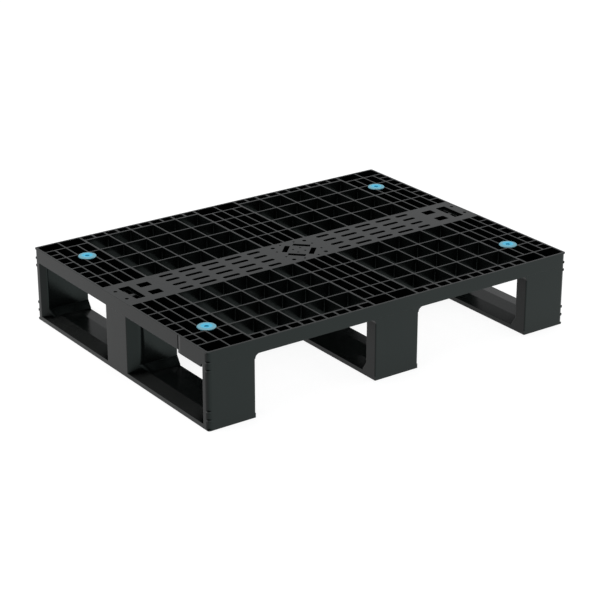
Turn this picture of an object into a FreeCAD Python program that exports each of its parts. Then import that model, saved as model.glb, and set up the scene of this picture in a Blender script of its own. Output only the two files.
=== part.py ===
import FreeCAD, Part
import math
import os

# Half-size display pallet with three skids, moulded in plastic.
# Frame: millimetres, +Z up, +X along the long side, +Y along the short side.
# The origin is on the floor, under the centre of the pallet.

# ---- driving dimensions ---------------------------------------------------
LENGTH = 800.0            # along X
WIDTH = 600.0             # along Y
HEIGHT = 145.0            # floor to the load surface
DECK_DEPTH = 26.5         # skirt and ribs of the deck
ROW_RIB_DROP = 2.5        # the long ribs between the legs hang this much lower
LEG_GAP = 1.0             # from the end of a hanging rib to the legs
LEG_LENGTH = 96.0         # along X, the same for all nine legs and for the runners
END_LEG_DEPTH = 28.0      # along Y, the six legs on the long sides
MID_LEG_HALF = 50.25      # half of the middle legs' size along Y
WALL = 3.0                # leg walls
RIM = 4.0                 # outer wall of the deck
PLATE = 4.0               # top plate of the solid band
CORNER_R = 8.5            # outer vertical corners
CELL_R = 2.0              # inside corners of the deck's cells
SHARP_R = 0.5             # smallest rounding of a corner

# deck grid: centre lines of the ribs
RIB = 3.0
LEG_RIB = 4.2             # ribs over the legs' long walls
EDGE_RIB = 3.7            # inner side of the edge strip
STRIP_CROSS_RIB = 4.0     # short ribs across the edge strip
CENTRE_RIB = 24.0
MID_RIB = 47.9
END_RIB = 304.5
LARGE_COLUMNS = 5         # between the middle leg row and an end leg row
WIDE_COLUMN = 52.7        # the two of them next to the leg rows
NARROW_COLUMNS = 3        # full narrow columns over an end leg row
NARROW_PITCH = 23.8
ROW_PITCH = 56.8
ROWS = 4                  # from the band to the edge strip
STRIP_RIB = 278.0
LEG_STRIP = 264.0         # rib that closes the deep edge cells over the legs
WELD_RIB = 10.0           # height of the low ribs in those cells

# solid band along the middle of the deck
SLOT_WIDTH = 8.5
SLOT_ROWS = (-35.6, -12.2, 12.2, 35.6)
SLOT_LONG = 36.5
SLOT_SHORT = 28.5         # in the columns next to a leg row
SLOT_SHIFT = 5.7          # of the short slots, away from the leg row
CROSS_SLOT = (33.5, 10.0)     # square-ended diagonal slots round the centre
CROSS_AT = 18.0
ROUND_HOLE_R = 4.0
ROUND_HOLE_AT = (36.4, 35.0)
DOT_R = 2.2
DOTS_AT = ((40.5, 15.1), (15.5, 40.5), (8.0, 8.3))
LIFT_HOLE = (24.0, 18.5)
LIFT_HOLE_AT = (328.0, 20.0)
POCKET = (21.8, 60.7)
POCKET_X = 365.4
POCKET_DEPTH = 4.5
POCKET_HOLE = (9.5, 22.4)
POCKET_HOLE_AT = (363.4, 15.25)
PIN_HOLE_R = 3.5
PIN_HOLE_AT = (387.5, 20.0)

# plate that hangs from the skirt beside the front left corner
TAB_Y = (-280.0, -207.5)
TAB_THICKNESS = 2.5
TAB_DROP = 6.0
SEAM_STEP = 0.8           # depth of the step beside the plate
SEAM_RAMP = 8.0           # length along Y over which the face comes back out

# anti-slip grommets
GROMMET_AT = (339.6, 204.8)
HEAD_R = 17.0
HEAD_PROUD = 1.2
HEAD_DOME = 0.8
HEAD_EDGE = 0.6           # small chamfer round the head
RING_R = 10.0             # inside of the flat ring, where the recess starts
RECESS_DEPTH = 0.8
HOLE_R = 4.0
HOLE_DEPTH = 2.0
SEAT_GAP = 0.2
SEAT_DEPTH = 1.2
BOSS_R = 15.0
BOSS_FLOOR = 3.0
STEM_R = 5.5
BARB_R = 7.0
BARB_TIP_R = 3.5
BARB_EDGE = 2.0
BARB_LENGTH = 9.0

# legs and runners
RUNNER_EDGE = 8.5         # height of the runner's long edges
RUNNER_CROWN = 12.5       # height of its flat middle
RUNNER_BEVEL = 30.0       # width of each sloping side
END_LEAD_IN = (9.0, 12.0)     # slanted part of the corner legs' outer edges, X by Y
MID_LEAD_IN = (21.0, 15.5)    # the same on the outer middle legs
END_BEND_R = 5.0
MID_BEND_R = 20.0
LEG_EDGE_R = 2.5          # other vertical edges of the legs
LEG_TOP_R = 9.0           # fillet between a leg and the deck's long skirt
FOOT_OUT = 10.0           # how far a leg's foot flares along the runner
FOOT_TOP = 26.0
FOOT_SHOULDER = 11.0
SKID_FLOOR = 7.0          # bottom of the legs' cavities
CAVITY_COLUMNS = 3        # cavities of a leg along X
POCKET_ROWS = 16          # pockets under the runner along its length, an even number
POCKET_ROOF = 3.5         # roof of the pockets near the edges
CROWN_ROOF = 8.5          # roof of the pockets under the crown

# fins round the four corners
FIN_R = 4.0
FIN_REACH = 14.0
FIN_HEIGHT = 3.0
DECK_FINS = (125.0,)
LEG_FINS = (19.0, 35.0, 110.0)
LIP_HEIGHT = 2.5

# ---- derived ---------------------------------------------------------------
HALF_X = LENGTH / 2
HALF_Y = WIDTH / 2
DECK_Z = HEIGHT - DECK_DEPTH
END_LEG_X = HALF_X - LEG_LENGTH
MID_LEG_X = LEG_LENGTH / 2
END_LEG_Y = HALF_Y - END_LEG_DEPTH
HALF_WALL = WALL / 2
BAND_RIB = MID_LEG_HALF - RIB / 2
RIM_IN_X = HALF_X - RIM
RIM_IN_Y = HALF_Y - RIM
SEAT_R = HEAD_R + SEAT_GAP
THICKER = {MID_RIB: LEG_RIB, END_RIB: LEG_RIB, STRIP_RIB: EDGE_RIB}
QUADRANTS = ((1, 1), (-1, 1), (-1, -1), (1, -1))


def vec(x, y, z=0.0):
    return FreeCAD.Vector(x, y, z)


def box(x0, x1, y0, y1, z0, z1):
    return Part.makeBox(x1 - x0, y1 - y0, z1 - z0, vec(x0, y0, z0))


def cylinder(x, y, z0, z1, radius):
    return Part.makeCylinder(radius, z1 - z0, vec(x, y, z0))


def union(shapes):
    return shapes[0].multiFuse(shapes[1:]) if len(shapes) > 1 else shapes[0]


def rounded_wire(x0, x1, y0, y1, z=0.0, radii=(CELL_R,) * 4):
    """Rectangle with its own radius at (x1,y1), (x0,y1), (x0,y0) and (x1,y0)."""
    corners = ((x1, y1), (x0, y1), (x0, y0), (x1, y0))
    edges = []
    ends = []
    for i, ((cx, cy), r) in enumerate(zip(corners, radii)):
        sx, sy = QUADRANTS[i]
        centre = vec(cx - sx * r, cy - sy * r, z)
        a0 = i * math.pi / 2
        first, middle, last = (
            centre + vec(r * math.cos(a), r * math.sin(a)) for a in (a0, a0 + math.pi / 4, a0 + math.pi / 2)
        )
        edges.append(Part.Arc(first, middle, last).toShape())
        ends.append((first, last))
    for i in range(4):
        edges.insert(2 * i + 1, Part.LineSegment(ends[i][1], ends[(i + 1) % 4][0]).toShape())
    return Part.Wire(edges)


def prism(wires, z0, z1):
    """Straight prism of the first wire, with the other wires as holes."""
    face = Part.Face(wires)
    face.validate()
    solid = face.extrude(vec(0, 0, z1 - z0))
    solid.translate(vec(0, 0, z0 - face.BoundBox.ZMin))
    return solid


def polygon_prism(points, height_vector):
    return Part.Face(Part.makePolygon(list(points) + [points[0]])).extrude(height_vector)


def rounded_polygon(points, radii, z=0.0):
    """Closed wire through the plan points, each corner rounded by its own radius."""
    arcs = []
    for i, (corner, r) in enumerate(zip(points, radii)):
        before = (points[i - 1] - corner).normalize()
        after = (points[(i + 1) % len(points)] - corner).normalize()
        half_angle = before.getAngle(after) / 2
        reach = r / math.tan(half_angle)
        inward = (before + after).normalize() * (r / math.sin(half_angle) - r)
        ends = (before * reach, inward, after * reach)
        arcs.append([corner + step + vec(0, 0, z) for step in ends])
    edges = []
    for i, arc in enumerate(arcs):
        edges.append(Part.Arc(*arc).toShape())
        edges.append(Part.makeLine(arc[2], arcs[(i + 1) % len(arcs)][0]))
    return Part.Wire(edges)


def slot(cx, cy, length, width, z0, z1, degrees=0.0, end_r=None):
    """Slot cut from z0 to z1, round-ended unless it has its own end radius."""
    r = width / 2
    end_r = end_r or r * 0.999
    shape = prism([rounded_wire(-length / 2, length / 2, -r, r, z0, (end_r,) * 4)], z0, z1)
    shape.rotate(vec(0, 0, 0), vec(0, 0, 1), degrees)
    shape.translate(vec(cx, cy, 0))
    return shape


def mirrored(shape, sx, sy):
    """The shape mirrored about the planes through the centre, for each negative sign."""
    if sx < 0:
        shape = shape.mirror(vec(0, 0), vec(1, 0))
    if sy < 0:
        shape = shape.mirror(vec(0, 0), vec(0, 1))
    return shape


def four_ways(x, y):
    return [(sx * x, sy * y) for sx, sy in QUADRANTS]


# ---- deck -------------------------------------------------------------------

def between(lines, thickness=None):
    """Clear spans between neighbouring centre lines of ribs, each with its own thickness."""
    halves = [(thickness or THICKER.get(line, RIB)) / 2 for line in lines]
    return [(lines[i] + halves[i], lines[i + 1] - halves[i + 1]) for i in range(len(lines) - 1)]


def mirrored_cells(x0, x1, y0, y1):
    """The same cell in all four quarters, with a wide corner where two rims meet."""
    cells = []
    for sx, sy in QUADRANTS:
        xs = sorted((sx * x0, sx * x1))
        ys = sorted((sy * y0, sy * y1))
        radii = [CELL_R] * 4
        if x1 == RIM_IN_X and y1 == RIM_IN_Y:
            radii[QUADRANTS.index((sx, sy))] = CORNER_R - RIM
        cells.append(rounded_wire(xs[0], xs[1], ys[0], ys[1], 0.0, tuple(radii)))
    return cells


def large_lines():
    """Rib centre lines along X between two leg rows."""
    first, last = MID_RIB + WIDE_COLUMN, END_RIB - WIDE_COLUMN
    gaps = LARGE_COLUMNS - 2
    return [MID_RIB] + [first + (last - first) * i / gaps for i in range(gaps + 1)] + [END_RIB]


def row_lines():
    """Rib centre lines along Y, from the band to the inner side of the edge strip."""
    return [BAND_RIB + ROW_PITCH * i for i in range(ROWS)] + [STRIP_RIB]


def halved(lines):
    """The lines with another one midway between each two."""
    middles = [(a + b) / 2 for a, b in zip(lines, lines[1:])]
    return sorted(list(lines) + middles)


def deck_cells():
    cells = []
    rows = row_lines()
    half_rib = RIB / 2
    large = large_lines()
    for x0, x1 in between(large):
        for y0, y1 in between(rows):
            cells += mirrored_cells(x0, x1, y0, y1)
    for x0, x1 in between(halved(large), STRIP_CROSS_RIB):
        cells += mirrored_cells(x0, x1, STRIP_RIB + EDGE_RIB / 2, RIM_IN_Y)

    leg_rows = rows[:-1] + [LEG_STRIP]
    narrow = [END_RIB + NARROW_PITCH * i for i in range(NARROW_COLUMNS + 1)]
    centre = [0.0, CENTRE_RIB, MID_RIB]
    for x0, x1 in between(narrow) + between(centre):
        for y0, y1 in between(leg_rows):
            cells += mirrored_cells(x0, x1, y0, y1)
    for y0, y1 in between(halved(leg_rows)):
        cells += mirrored_cells(narrow[-1] + half_rib, RIM_IN_X, y0, y1)
    for x0, x1 in ((half_rib, MID_RIB - LEG_RIB / 2),
                   (END_RIB + LEG_RIB / 2, narrow[2] - half_rib),
                   (narrow[2] + half_rib, RIM_IN_X)):
        cells += mirrored_cells(x0, x1, LEG_STRIP + half_rib, RIM_IN_Y)
    return cells


def band_underside():
    """Pockets under the solid band, open downwards between its ribs."""
    tools = []
    plate_z = HEIGHT - PLATE
    quarter = (0.0, BAND_RIB / 2, BAND_RIB)
    half = (0.0, BAND_RIB)
    pocket_rib = POCKET_X - POCKET[0] / 2 - RIB
    outer_rib = POCKET_X + POCKET[0] / 2 + RIB
    thick_z = plate_z - POCKET_DEPTH
    spans = [(x0, x1, quarter, plate_z) for x0, x1 in between(large_lines())]
    spans += [(x0, x1, half, plate_z) for x0, x1 in between((0.0, MID_RIB)) + between((END_RIB, pocket_rib))]
    spans += [(x0, x1, half, thick_z) for x0, x1 in between((pocket_rib, outer_rib))]
    spans.append((outer_rib + RIB / 2, RIM_IN_X, half, plate_z))
    for x0, x1, ys, roof in spans:
        for y0, y1 in between(ys):
            tools += [prism([wire], DECK_Z - 1, roof) for wire in mirrored_cells(x0, x1, y0, y1)]
    return tools


def square_hole(x, y, size, z0, z1):
    a, b = size[0] / 2, size[1] / 2
    return prism([rounded_wire(x - a, x + a, y - b, y + b)], z0, z1)


def band_openings():
    """Slots and holes through the top plate of the band."""
    tools = []
    low, high = HEIGHT - PLATE - 1, HEIGHT + 1
    lines = large_lines()
    for column, (x0, x1) in enumerate(zip(lines, lines[1:])):
        length = SLOT_SHORT if column in (0, LARGE_COLUMNS - 1) else SLOT_LONG
        shift = {0: SLOT_SHIFT, LARGE_COLUMNS - 1: -SLOT_SHIFT}.get(column, 0.0)
        for side in (-1, 1):
            for y in SLOT_ROWS:
                tools.append(slot(side * ((x0 + x1) / 2 + shift), y, length, SLOT_WIDTH, low, high))
    for x, y in four_ways(CROSS_AT, CROSS_AT):
        tools.append(slot(x, y, *CROSS_SLOT, low, high, -45.0 if x * y > 0 else 45.0, SHARP_R))
    for x, y in four_ways(*ROUND_HOLE_AT):
        tools.append(cylinder(x, y, low, high, ROUND_HOLE_R))
    for spot in DOTS_AT:
        tools += [cylinder(x, y, low, high, DOT_R) for x, y in four_ways(*spot)]
    for x, y in four_ways(*LIFT_HOLE_AT):
        tools.append(square_hole(x, y, LIFT_HOLE, low, high))
    for side in (-1, 1):
        tools.append(square_hole(side * POCKET_X, 0.0, POCKET, HEIGHT - POCKET_DEPTH, high))
    for x, y in four_ways(*POCKET_HOLE_AT):
        tools.append(square_hole(x, y, POCKET_HOLE, low - POCKET_DEPTH, high))
    for x, y in four_ways(*PIN_HOLE_AT):
        tools.append(cylinder(x, y, low, high, PIN_HOLE_R))
    return tools


def corner_fin(sx, sy, z0, z1):
    """Short rib that wraps a corner and fills it out to a tighter radius."""
    x0, x1 = HALF_X - FIN_REACH, HALF_X
    y0, y1 = HALF_Y - FIN_REACH, HALF_Y
    ring = prism([rounded_wire(x0, x1, y0, y1, 0.0, (FIN_R, SHARP_R, SHARP_R, SHARP_R))], z0, z1)
    inner = box(x0 - 1, x1 - RIM, y0 - 1, y1 - RIM, z0 - 1, z1 + 1)
    return mirrored(ring.cut(inner), sx, sy)


def weld_ribs():
    """Low ribs inside the deep edge cells, over the inner walls of the end legs."""
    ribs = []
    top = DECK_Z + WELD_RIB
    for x0, x1 in ((-HALF_X + RIM / 2, -END_LEG_X), (-MID_LEG_X, MID_LEG_X), (END_LEG_X, HALF_X - RIM / 2)):
        for side in (-1, 1):
            y0, y1 = sorted((side * END_LEG_Y, side * (END_LEG_Y + WALL)))
            ribs.append(box(x0, x1, y0, y1, DECK_Z, top))
    return ribs


def dropped_ribs():
    """Lower edges of the long ribs where no leg stands, shaped round the legs' top fillets."""
    ribs = []
    for line in row_lines():
        half = THICKER.get(line, RIB) / 2
        x0, x1 = MID_LEG_X + LEG_GAP, END_LEG_X - LEG_GAP
        if MID_LEG_HALF < line - half and line + half < END_LEG_Y:
            x0, x1 = 0.0, RIM_IN_X
        rib = box(x0, x1, line - half, line + half, DECK_Z - ROW_RIB_DROP, DECK_Z + 1)
        if line > END_LEG_Y:
            for x, direction in ((MID_LEG_X, 1), (END_LEG_X, -1)):
                rib = rib.cut(leg_top_fillet(x, direction, END_LEG_Y, HALF_Y))
        ribs += [mirrored(rib, sx, sy) for sx, sy in QUADRANTS]
    return ribs


def tab_seam():
    """Step in the skirt's face beside the hanging plate."""
    y1 = TAB_Y[1]
    points = [vec(-HALF_X - 1, y1, DECK_Z - TAB_DROP - 1), vec(SEAM_STEP - HALF_X, y1, DECK_Z - TAB_DROP - 1),
              vec(-HALF_X, y1 - SEAM_RAMP, DECK_Z - TAB_DROP - 1),
              vec(-HALF_X - 1, y1 - SEAM_RAMP, DECK_Z - TAB_DROP - 1)]
    return polygon_prism(points, vec(0, 0, DECK_DEPTH + TAB_DROP + 2))


def deck():
    outline = rounded_wire(-HALF_X, HALF_X, -HALF_Y, HALF_Y, 0.0, (CORNER_R,) * 4)
    shape = prism([outline] + deck_cells(), DECK_Z, HEIGHT)
    added = weld_ribs() + dropped_ribs()
    added.append(box(-HALF_X, TAB_THICKNESS - HALF_X, *TAB_Y, DECK_Z - TAB_DROP, DECK_Z + 1))
    for x, y in four_ways(*GROMMET_AT):
        added.append(cylinder(x, y, DECK_Z, HEIGHT - SEAT_DEPTH, BOSS_R))
    for sx, sy in QUADRANTS:
        added.append(corner_fin(sx, sy, HEIGHT - LIP_HEIGHT, HEIGHT))
        for z in DECK_FINS:
            added.append(corner_fin(sx, sy, z - FIN_HEIGHT / 2, z + FIN_HEIGHT / 2))
    shape = union([shape] + added)
    tools = band_underside() + band_openings() + [tab_seam()]
    for x, y in four_ways(*GROMMET_AT):
        tools.append(cylinder(x, y, HEIGHT - SEAT_DEPTH, HEIGHT + 1, SEAT_R))
        tools.append(cylinder(x, y, HEIGHT - SEAT_DEPTH - BOSS_FLOOR - 1, HEIGHT, STEM_R))
        tools.append(cylinder(x, y, DECK_Z - 1, HEIGHT - SEAT_DEPTH - BOSS_FLOOR, BOSS_R - WALL))
    return shape.cut(Part.makeCompound(tools)).removeSplitter()


# ---- skids ------------------------------------------------------------------

def runner(x0, x1):
    """Floor rail of one skid: thin edges, sloping sides and a flat crown."""
    profile = [vec(x0, -HALF_Y, 0), vec(x1, -HALF_Y, 0), vec(x1, -HALF_Y, RUNNER_EDGE),
               vec(x1 - RUNNER_BEVEL, -HALF_Y, RUNNER_CROWN), vec(x0 + RUNNER_BEVEL, -HALF_Y, RUNNER_CROWN),
               vec(x0, -HALF_Y, RUNNER_EDGE)]
    return polygon_prism(profile, vec(0, WIDTH, 0))


def deck_outline_prism():
    outline = rounded_wire(-HALF_X, HALF_X, -HALF_Y, HALF_Y, 0.0, (CORNER_R,) * 4)
    return prism([outline], 0.0, DECK_Z)


def leg_outlines(x0, x1, outer):
    """Plan points and corner radii of the three legs of a skid, with the plan points of their feet.

    An outer skid has a slanted lead-in beside its x1 face."""
    outlines = []
    for side in (-1, 1):
        far = side * HALF_Y

        def end_leg(out):
            face = side * (END_LEG_Y - out)
            if not outer:
                return [vec(x0, far), vec(x1, far), vec(x1, face), vec(x0, face)]
            cut_x, cut_y = END_LEAD_IN
            bend = x1 - cut_x - out * cut_x / cut_y
            return [vec(x0, far), vec(x1, far), vec(x1, side * (END_LEG_Y + cut_y)),
                    vec(bend, face), vec(x0, face)]

        radii = [LEG_EDGE_R, SHARP_R, LEG_EDGE_R, END_BEND_R, LEG_EDGE_R] if outer else [LEG_EDGE_R] * 4
        outlines.append((end_leg(0.0), radii, (end_leg(FOOT_OUT),)))

    def mid_leg(out_front, out_back):
        front, back = -MID_LEG_HALF - out_front, MID_LEG_HALF + out_back
        if not outer:
            return [vec(x0, front), vec(x1, front), vec(x1, back), vec(x0, back)]
        cut_x, cut_y = MID_LEAD_IN
        inner = MID_LEG_HALF - cut_y
        bends = [x1 - cut_x - out * cut_x / cut_y for out in (out_front, out_back)]
        return [vec(x0, front), vec(bends[0], front), vec(x1, -inner), vec(x1, inner),
                vec(bends[1], back), vec(x0, back)]

    radii = [LEG_EDGE_R] * 4
    if outer:
        radii = [LEG_EDGE_R, MID_BEND_R, LEG_EDGE_R, LEG_EDGE_R, MID_BEND_R, LEG_EDGE_R]
    outlines.append((mid_leg(0.0, 0.0), radii, (mid_leg(FOOT_OUT, 0.0), mid_leg(0.0, FOOT_OUT))))
    return outlines


def leg(points, radii, feet):
    """A leg with its feet: straight to the shoulder, then slanting in to the leg."""
    parts = [prism([rounded_polygon(points, radii)], 0.0, DECK_Z)]
    for out in feet:
        parts.append(prism([rounded_polygon(out, radii)], 0.0, FOOT_SHOULDER))
        wires = [rounded_polygon(out, radii, FOOT_SHOULDER), rounded_polygon(points, radii, FOOT_TOP)]
        parts.append(Part.makeLoft(wires, True, True))
    return parts


def leg_top_fillet(x, direction, y0, y1):
    """Concave fillet between an end leg's face at X = x and the skirt above it."""
    r = LEG_TOP_R
    depth = LEG_EDGE_R + 1
    corner = vec(x, y0, DECK_Z)
    low, side = vec(x, y0, DECK_Z - r), vec(x + direction * r, y0, DECK_Z)
    middle = vec(x + direction * r * (1 - math.sqrt(0.5)), y0, DECK_Z - r * (1 - math.sqrt(0.5)))
    inside = vec(x - direction * depth, y0, DECK_Z)
    foot_in = vec(x - direction * depth, y0, DECK_Z - r)
    edges = [Part.Arc(low, middle, side).toShape(), Part.makeLine(side, corner),
             Part.makeLine(corner, inside), Part.makeLine(inside, foot_in), Part.makeLine(foot_in, low)]
    return Part.Face(Part.Wire(edges)).extrude(vec(0, y1 - y0, 0))


def leg_cavities(x0, x1, outer):
    """Hollows of the three legs, open at the top and divided by cross ribs."""
    tools = []
    low, high = SKID_FLOOR, DECK_Z + 1
    step = (x1 - x0 - WALL) / CAVITY_COLUMNS
    lines = [x0 + HALF_WALL + step * i for i in range(CAVITY_COLUMNS + 1)]
    for i, (a, b) in enumerate(between(lines, WALL)):
        at_edge = outer and i == CAVITY_COLUMNS - 1
        end_b = b - END_LEAD_IN[0] if at_edge else b
        inset = MID_LEAD_IN[1] if at_edge else 0.0
        for side in (-1, 1):
            y0, y1 = sorted((side * (END_LEG_Y + WALL), side * (HALF_Y - WALL)))
            tools.append(prism([rounded_wire(a, end_b, y0, y1)], low, high))
            y0, y1 = sorted((side * HALF_WALL, side * (MID_LEG_HALF - WALL - inset)))
            tools.append(prism([rounded_wire(a, b, y0, y1)], low, high))
    return tools


def runner_pockets(x0, x1):
    """Shallow pockets on the underside of a runner, in three rows."""
    tools = []
    spans = ((x0 + WALL, x0 + RUNNER_BEVEL - HALF_WALL, POCKET_ROOF),
             (x0 + RUNNER_BEVEL + HALF_WALL, x1 - RUNNER_BEVEL - HALF_WALL, CROWN_ROOF),
             (x1 - RUNNER_BEVEL + HALF_WALL, x1 - WALL, POCKET_ROOF))
    step = (WIDTH - WALL) / POCKET_ROWS
    lines = [-HALF_Y + HALF_WALL + step * i for i in range(POCKET_ROWS + 1)]
    for y0, y1 in between(lines, WALL):
        under_leg = min(abs(y0), abs(y1)) < MID_LEG_HALF or max(abs(y0), abs(y1)) > END_LEG_Y
        for a, b, roof in spans:
            height = POCKET_ROOF if under_leg else roof
            inset = CORNER_R / 2 if max(abs(y0), abs(y1)) > HALF_Y - 2 * WALL else 0.0
            low, high = (y0 + inset, y1) if y0 < 0 else (y0, y1 - inset)
            tools.append(prism([rounded_wire(a, b, low, high)], -1.0, height))
    return tools


def skid(x0, x1, outer):
    """One skid: a runner and three hollow legs in one moulding; an outer one faces +X."""
    parts = [runner(x0, x1)]
    for outline in leg_outlines(x0, x1, outer):
        parts += leg(*outline)
    for side in (-1, 1):
        y0, y1 = sorted((side * END_LEG_Y, side * HALF_Y))
        parts.append(leg_top_fillet(x0, -1, y0, y1))
        if not outer:
            parts.append(leg_top_fillet(x1, 1, y0, y1))
    shape = union(parts).removeSplitter()
    if outer:
        shape = shape.common(deck_outline_prism())
        fins = []
        for sy in (-1, 1):
            fins.append(corner_fin(1, sy, 0.0, LIP_HEIGHT))
            fins += [corner_fin(1, sy, z - FIN_HEIGHT / 2, z + FIN_HEIGHT / 2) for z in LEG_FINS]
        shape = union([shape] + fins)
    tools = leg_cavities(x0, x1, outer) + runner_pockets(x0, x1)
    return shape.cut(Part.makeCompound(tools)).removeSplitter()


# ---- grommets ---------------------------------------------------------------

def grommet(x, y):
    """Rubber plug: ringed head in the seat, stem through the boss and a barb below it."""
    seat_z = HEIGHT - SEAT_DEPTH
    top_z = HEIGHT + HEAD_PROUD
    under_z = seat_z - BOSS_FLOOR
    barb_z = under_z - BARB_LENGTH
    rim_z = top_z - HEAD_DOME
    hole_z = top_z - RECESS_DEPTH - HOLE_DEPTH
    rim = HEAD_R - HEAD_EDGE
    outside = [vec(0, 0, barb_z), vec(BARB_TIP_R, 0, barb_z), vec(BARB_R, 0, under_z - BARB_EDGE),
               vec(BARB_R, 0, under_z), vec(STEM_R, 0, under_z), vec(STEM_R, 0, seat_z),
               vec(HEAD_R, 0, seat_z), vec(HEAD_R, 0, rim_z - HEAD_EDGE), vec(rim, 0, rim_z)]
    inside = [vec(RING_R, 0, top_z), vec(HOLE_R, 0, top_z - RECESS_DEPTH), vec(HOLE_R, 0, hole_z),
              vec(0, 0, hole_z), vec(0, 0, barb_z)]
    middle = vec((rim + RING_R) / 2, 0, top_z - HEAD_DOME * 0.3)
    edges = Part.makePolygon(outside).Edges + [Part.Arc(outside[-1], middle, inside[0]).toShape()]
    edges += Part.makePolygon(inside).Edges
    shape = Part.Face(Part.Wire(edges)).revolve(vec(0, 0, 0), vec(0, 0, 1), 360)
    shape.translate(vec(x, y, 0))
    return shape


def nodes():
    yield "deck", deck()
    right = skid(END_LEG_X, HALF_X, True)
    yield "skid_left", mirrored(right, -1, 1)
    yield "skid_centre", skid(-MID_LEG_X, MID_LEG_X, False)
    yield "skid_right", right
    for (x, y) in four_ways(*GROMMET_AT):
        ends = "right" if x > 0 else "left", "back" if y > 0 else "front"
        yield "grommet_%s_%s" % ends, grommet(x, y)


def main():
    os.makedirs("parts", exist_ok=True)
    for name, shape in nodes():
        solids = shape.Solids
        if not shape.isValid() or len(solids) != 1:
            print("check", name, "valid", shape.isValid(), "solids", len(solids))
        solids[0].exportStep("parts/%s.step" % name)
        print("%-22s %8.1f cm3  %s" % (name, solids[0].Volume / 1000.0, solids[0].BoundBox))


main()
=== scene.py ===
import bpy
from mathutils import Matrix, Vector

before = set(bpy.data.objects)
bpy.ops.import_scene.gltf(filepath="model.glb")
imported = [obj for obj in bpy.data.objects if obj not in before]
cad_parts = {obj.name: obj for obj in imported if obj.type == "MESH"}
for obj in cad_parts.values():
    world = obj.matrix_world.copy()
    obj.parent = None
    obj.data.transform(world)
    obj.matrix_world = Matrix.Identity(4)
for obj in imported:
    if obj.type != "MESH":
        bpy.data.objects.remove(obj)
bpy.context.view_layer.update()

# ---- camera ----------------------------------------------------------------
CAMERA_AT = Vector((-1.9540, -2.7484, 1.4368))
CAMERA_DIRECTION = Vector((0.53582, 0.75299, -0.38197))
CAMERA_LENS = 115.19
SENSOR = 36.0


def make_camera():
    data = bpy.data.cameras.new("camera")
    data.lens = CAMERA_LENS
    data.sensor_width = SENSOR
    data.clip_start, data.clip_end = 0.05, 60.0
    camera = bpy.data.objects.new("camera", data)
    camera.location = CAMERA_AT
    camera.rotation_mode = "QUATERNION"
    camera.rotation_quaternion = CAMERA_DIRECTION.to_track_quat("-Z", "Y")
    bpy.context.scene.collection.objects.link(camera)
    bpy.context.scene.camera = camera


# ---- looks -------------------------------------------------------------------
# Colours, sheens and tints are chosen to look like the object. None is a measured finish.
PLASTIC = (0.0035, 0.0045, 0.0043)
SCUFF = (0.050, 0.052, 0.052)
DECK_SCUFF = 0.30         # how strongly scuffs and worn edges show
SKID_SCUFF = 0.25
SPECULAR = 0.30
ROUGHNESS = (0.15, 0.21)
SCUFF_ROUGHNESS = 0.3     # added to the roughness where the scuffs are full
EDGE_RADIUS = 0.0007
CLOUD_SCALE = 9.0
CLOUD_LIGHTER = 1.2       # colour of the lighter clouds, over the plain one
CLOUD_DEPTH = 0.0010
GRAIN_SCALE = 2600.0
GRAIN_DEPTH = 0.00004
SCRATCH_STRETCH = (60.0, 300.0, 60.0)
SCRATCH_WARP = 0.6
SCUFF_PATCHES = 14.0
WEAR_PATCHES = 55.0
WEAR_SHARE = 0.5
CAVITY_REACH = 0.045      # how far a surface looks for walls around it
CAVITY_DARK = 0.60        # openness at which a cell's wall gets the deepest painted shade
CAVITY_CLEAR = 0.97       # openness from which it isn't darkened
CAVITY_SHADE = 0.35      # share of the colour left where the painted shade is deepest
FACING = (0.3, 0.9)       # part of a normal along an axis, from not facing that way to facing it
END_SHEEN = 0.58          # share of the sheen left on faces that look along X: painted shade on those sides
SIDE_TINT = (0.82, 1.0, 0.96)     # painted reflection colour: tint of the sheen on faces that look along Y
RUNNER_TOP = (0.016, 0.012)       # heights between which an upward face becomes a runner's top
UPWARD = (0.5, 0.9)
RUNNER_SHADE = 0.65        # share of the sheen taken from the runners' tops, as painted shade under the deck
OUTER_BEVEL = (0.368, 0.372)      # distance from the centre at which the outer runners' last slope starts
SLOPE_PAINTED_LIGHT = (0.017, 0.018, 0.0175)   # painted light: lighter colour of that slope
GROMMET_AT = (0.3396, 0.2048)
RING_BLUE = (0.13, 0.34, 0.42)
RING_LIGHTER = 1.08
RECESS_BLUE = (0.050, 0.45, 0.68)
# darker blue of the hole: painted shade
HOLE_SHADE_BLUE = (0.022, 0.32, 0.50)
RECESS_EDGE = (0.0085, 0.0125)    # radii over which the recess gives way to the ring
HOLE_EDGE = (0.0036, 0.0050)      # radii over which the hole's painted shade gives way to the recess
MOTTLE_SCALE = 220.0
RUBBER_ROUGHNESS = (0.36, 0.48)
RUBBER_SPECULAR = 0.4
RUBBER_EDGE_RADIUS = 0.0006
RUBBER_GRAIN_SCALE = 1800.0
RUBBER_GRAIN_DEPTH = 0.00006

# ---- setting's values ----------------------------------------------------------
FLOOR_HALF = 14.0
FLOOR_DROP = 0.0004       # the floor lies this far under the runners
FLOOR_TONES = (0.21, 0.23)
FLOOR_GLOW = 0.86
FLOOR_ROUGHNESS = 0.9
FLOOR_SPECULAR = 0.1
SKY_COLOUR = (0.98, 0.99, 1.0, 1.0)
SKY_STRENGTH = 0.58
LIGHT_AIM = (0, 0, 0.1)
KEY_LIGHT = ((-2.6, 0.6, 3.0), 3.0, 20.0)     # place, side of the square and watts
TOP_LIGHT = ((0.4, 0.6, 4.0), 5.0, 100.0)


# ---- node helpers ------------------------------------------------------------

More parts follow.
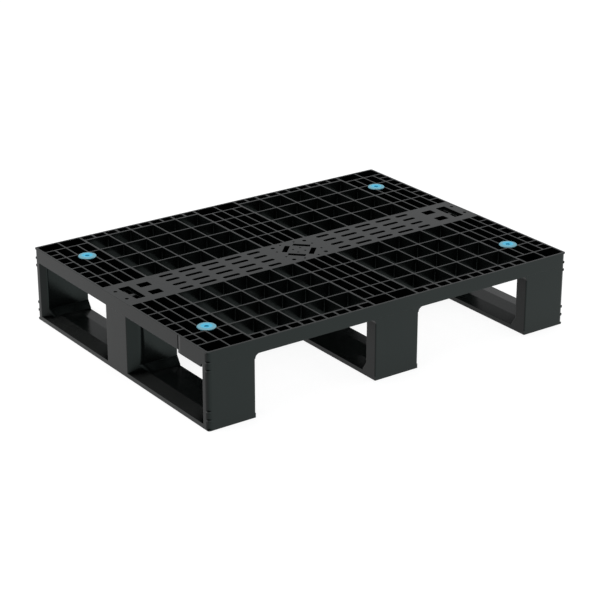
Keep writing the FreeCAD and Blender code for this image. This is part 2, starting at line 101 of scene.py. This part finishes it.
class Nodes:
    """A material's node tree with short calls for the nodes used here."""

    def __init__(self, name):
        self.material = bpy.data.materials.new(name)
        self.material.use_nodes = True
        self.tree = self.material.node_tree
        self.tree.nodes.clear()
        self.output = self.tree.nodes.new("ShaderNodeOutputMaterial")
        self.shader = self.tree.nodes.new("ShaderNodeBsdfPrincipled")
        self.link(self.shader.outputs[0], self.output.inputs["Surface"])
        self.geometry = self.tree.nodes.new("ShaderNodeNewGeometry")
        self.position = self.geometry.outputs["Position"]

    def link(self, source, target):
        self.tree.links.new(source, target)

    def fill(self, socket, value):
        if isinstance(value, bpy.types.NodeSocket):
            self.link(value, socket)
        else:
            socket.default_value = value

    def math(self, operation, a, b=0.0, clamp=False):
        node = self.tree.nodes.new("ShaderNodeMath")
        node.operation = operation
        node.use_clamp = clamp
        self.fill(node.inputs[0], a)
        self.fill(node.inputs[1], b)
        return node.outputs[0]

    def noise(self, scale, detail=3.0, roughness=0.5, vector=None, distortion=0.0):
        node = self.tree.nodes.new("ShaderNodeTexNoise")
        node.inputs["Scale"].default_value = scale
        node.inputs["Detail"].default_value = detail
        node.inputs["Roughness"].default_value = roughness
        node.inputs["Distortion"].default_value = distortion
        self.link(vector or self.position, node.inputs["Vector"])
        return node.outputs["Fac"]

    def stretched(self, factors):
        """The position scaled by its own factor along each axis."""
        node = self.tree.nodes.new("ShaderNodeVectorMath")
        node.operation = "MULTIPLY"
        self.link(self.position, node.inputs[0])
        node.inputs[1].default_value = factors
        return node.outputs[0]

    def ramp(self, value, low, high, to_low=0.0, to_high=1.0):
        node = self.tree.nodes.new("ShaderNodeMapRange")
        node.interpolation_type = "SMOOTHSTEP"
        self.fill(node.inputs["Value"], value)
        for name, number in (("From Min", low), ("From Max", high), ("To Min", to_low), ("To Max", to_high)):
            node.inputs[name].default_value = number
        return node.outputs["Result"]

    def mix(self, share, a, b):
        node = self.tree.nodes.new("ShaderNodeMix")
        node.data_type = "RGBA"
        self.fill(node.inputs["Factor"], share)
        for socket, value in ((node.inputs[6], a), (node.inputs[7], b)):
            if isinstance(value, bpy.types.NodeSocket):
                self.link(value, socket)
            else:
                socket.default_value = (*value, 1.0)
        return node.outputs[2]

    def bump(self, height, distance, strength, normal):
        node = self.tree.nodes.new("ShaderNodeBump")
        node.inputs["Distance"].default_value = distance
        node.inputs["Strength"].default_value = strength
        self.link(height, node.inputs["Height"])
        self.link(normal, node.inputs["Normal"])
        return node.outputs[0]

    def openness(self, distance):
        """1 on an open face, towards 0 deep inside a narrow cell."""
        node = self.tree.nodes.new("ShaderNodeAmbientOcclusion")
        node.samples = 8
        node.only_local = True
        node.inputs["Distance"].default_value = distance
        return node.outputs["AO"]

    def rounded(self, radius):
        """Normals of edges softened to the given radius, and how far they lean from the face's own."""
        node = self.tree.nodes.new("ShaderNodeBevel")
        node.samples = 6
        node.inputs["Radius"].default_value = radius
        dot = self.tree.nodes.new("ShaderNodeVectorMath")
        dot.operation = "DOT_PRODUCT"
        self.link(node.outputs[0], dot.inputs[0])
        self.link(self.geometry.outputs["True Normal"], dot.inputs[1])
        return node.outputs[0], self.math("SUBTRACT", 1.0, dot.outputs["Value"], clamp=True)

    def axis(self, index, vector):
        node = self.tree.nodes.new("ShaderNodeSeparateXYZ")
        self.link(vector, node.inputs[0])
        return node.outputs[index]


# ---- materials -----------------------------------------------------------------

def black_plastic(name, scuff_share):
    """Moulded black plastic: fine grain, soft clouding, faint scuffs and worn edges, with painted shade in
    the cavities, on the runners' tops and on the end faces, painted light on the outer runners' slope and a
    painted reflection colour on the side faces.
    """
    n = Nodes(name)
    cloud = n.noise(CLOUD_SCALE, 4.0, 0.6)
    grain = n.noise(GRAIN_SCALE, 2.0, 0.6)
    edges, lean = n.rounded(EDGE_RADIUS)
    face = n.geometry.outputs["True Normal"]
    base = n.mix(n.ramp(cloud, 0.35, 0.65), PLASTIC, [c * CLOUD_LIGHTER for c in PLASTIC])

    # scuffs on the faces and wear along the edges
    scratches = n.noise(1.0, 5.0, 0.7, n.stretched(SCRATCH_STRETCH), SCRATCH_WARP)
    scuffs = n.math("MULTIPLY", n.ramp(scratches, 0.66, 0.76), n.ramp(n.noise(SCUFF_PATCHES), 0.54, 0.68))
    worn = n.ramp(n.noise(WEAR_PATCHES, 4.0, 0.6), 0.42, 0.66)
    wear = n.math("MULTIPLY", n.math("MULTIPLY", n.ramp(lean, 0.02, 0.25), worn), WEAR_SHARE)
    marks = n.math("MULTIPLY", n.math("ADD", scuffs, wear, clamp=True), scuff_share)
    base = n.mix(marks, base, SCUFF)

    # tops of the runners (their sheen cut as painted shade further down), and the outer slope of the outer
    # two, lightened as painted light
    low = n.ramp(n.axis(2, n.position), *RUNNER_TOP)
    low = n.math("MULTIPLY", low, n.ramp(n.axis(2, face), *UPWARD))
    painted_light_slope = n.math("MULTIPLY", n.ramp(n.math("ABSOLUTE", n.axis(0, n.position)), *OUTER_BEVEL), low)
    base = n.mix(n.math("MULTIPLY", painted_light_slope, n.ramp(cloud, 0.25, 0.60, 0.75, 1.0)), base, SLOPE_PAINTED_LIGHT)

    # painted shade in the cavities: darker colour here, and less sheen below
    unshaded_share = n.ramp(n.openness(CAVITY_REACH), CAVITY_DARK, CAVITY_CLEAR)
    base = n.mix(unshaded_share, [c * CAVITY_SHADE for c in PLASTIC], base)
    n.link(base, n.shader.inputs["Base Color"])

    scuffed = n.math("MULTIPLY", marks, SCUFF_ROUGHNESS)
    n.link(n.math("ADD", n.ramp(cloud, 0.3, 0.7, *ROUGHNESS), scuffed), n.shader.inputs["Roughness"])
    # painted shade: less sheen on the faces that look along X
    ends = n.ramp(n.math("ABSOLUTE", n.axis(0, face)), *FACING, 1.0, END_SHEEN)
    # painted shade under the deck: the runners' tops lose sheen
    sheen = n.math("MULTIPLY", ends, n.math("SUBTRACT", 1.0, n.math("MULTIPLY", low, RUNNER_SHADE)))
    # painted shade in the cavities takes away sheen as well
    sheen = n.math("MULTIPLY", sheen, n.math("MULTIPLY", unshaded_share, SPECULAR))
    n.link(sheen, n.shader.inputs["Specular IOR Level"])
    # painted reflection colour on the faces that look along Y
    sides = n.ramp(n.math("ABSOLUTE", n.axis(1, face)), *FACING)
    n.link(n.mix(sides, (1.0, 1.0, 1.0), SIDE_TINT), n.shader.inputs["Specular Tint"])
    fine = n.bump(grain, GRAIN_DEPTH, 0.25, edges)
    n.link(n.bump(cloud, CLOUD_DEPTH, 0.08, fine), n.shader.inputs["Normal"])
    return n.material


def blue_rubber(name):
    """Sky-blue insert: paler ring round the head, stronger blue in the recess, and a darker blue in the hole
    that is painted shade.
    """
    n = Nodes(name)
    dx = n.math("SUBTRACT", n.math("ABSOLUTE", n.axis(0, n.position)), GROMMET_AT[0])
    dy = n.math("SUBTRACT", n.math("ABSOLUTE", n.axis(1, n.position)), GROMMET_AT[1])
    radius = n.math("SQRT", n.math("ADD", n.math("MULTIPLY", dx, dx), n.math("MULTIPLY", dy, dy)))
    mottled = n.noise(MOTTLE_SCALE, 3.0, 0.5)
    ring = n.mix(n.ramp(mottled, 0.3, 0.7), RING_BLUE, [c * RING_LIGHTER for c in RING_BLUE])
    base = n.mix(n.ramp(radius, *RECESS_EDGE), RECESS_BLUE, ring)
    # painted shade: darker blue in the hole
    base = n.mix(n.ramp(radius, *HOLE_EDGE), HOLE_SHADE_BLUE, base)
    n.link(base, n.shader.inputs["Base Color"])
    n.link(n.ramp(mottled, 0.3, 0.7, *RUBBER_ROUGHNESS), n.shader.inputs["Roughness"])
    n.shader.inputs["Specular IOR Level"].default_value = RUBBER_SPECULAR
    edges = n.rounded(RUBBER_EDGE_RADIUS)[0]
    grain = n.noise(RUBBER_GRAIN_SCALE)
    n.link(n.bump(grain, RUBBER_GRAIN_DEPTH, 0.4, edges), n.shader.inputs["Normal"])
    return n.material


def floor_material():
    """Lit white sweep: matt, and bright enough by itself to stay white in the pallet's shade."""
    n = Nodes("pale_floor")
    tone = n.noise(1.3, 2.0, 0.5)
    dark, light = ((grey, grey, grey) for grey in FLOOR_TONES)
    n.link(n.mix(tone, dark, light), n.shader.inputs["Base Color"])
    n.shader.inputs["Roughness"].default_value = FLOOR_ROUGHNESS
    n.shader.inputs["Specular IOR Level"].default_value = FLOOR_SPECULAR
    n.shader.inputs["Emission Color"].default_value = (1.0, 1.0, 1.0, 1.0)
    n.shader.inputs["Emission Strength"].default_value = FLOOR_GLOW
    return n.material


# ---- setting -------------------------------------------------------------------

def make_floor():
    mesh = bpy.data.meshes.new("floor")
    corners = [(x * FLOOR_HALF, y * FLOOR_HALF, 0) for x, y in ((-1, -1), (1, -1), (1, 1), (-1, 1))]
    mesh.from_pydata(corners, [], [(0, 1, 2, 3)])
    floor = bpy.data.objects.new("floor", mesh)
    floor.location.z = -FLOOR_DROP
    mesh.materials.append(floor_material())
    bpy.context.scene.collection.objects.link(floor)


def area_light(name, location, side, power):
    data = bpy.data.lights.new(name, "AREA")
    data.shape = "SQUARE"
    data.size = side
    data.energy = power
    light = bpy.data.objects.new(name, data)
    light.location = location
    light.rotation_mode = "QUATERNION"
    light.rotation_quaternion = (Vector(LIGHT_AIM) - Vector(location)).to_track_quat("-Z", "Y")
    bpy.context.scene.collection.objects.link(light)


def make_lights():
    world = bpy.data.worlds.new("studio")
    bpy.context.scene.world = world
    world.use_nodes = True
    background = world.node_tree.nodes["Background"]
    background.inputs["Color"].default_value = SKY_COLOUR
    background.inputs["Strength"].default_value = SKY_STRENGTH
    area_light("key", *KEY_LIGHT)
    area_light("top", *TOP_LIGHT)


# ---- the model ------------------------------------------------------------------

def dress(node, material):
    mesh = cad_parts[node].data
    mesh.materials.clear()
    mesh.materials.append(material)


make_camera()
make_floor()
make_lights()
bpy.context.scene.view_settings.view_transform = "Standard"

deck_plastic = black_plastic("deck_plastic", DECK_SCUFF)
skid_plastic = black_plastic("skid_plastic", SKID_SCUFF)
rubber = blue_rubber("grommet_rubber")
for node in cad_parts:
    if node.startswith("grommet"):
        dress(node, rubber)
    elif node.startswith("skid"):
        dress(node, skid_plastic)
    else:
        dress(node, deck_plastic)
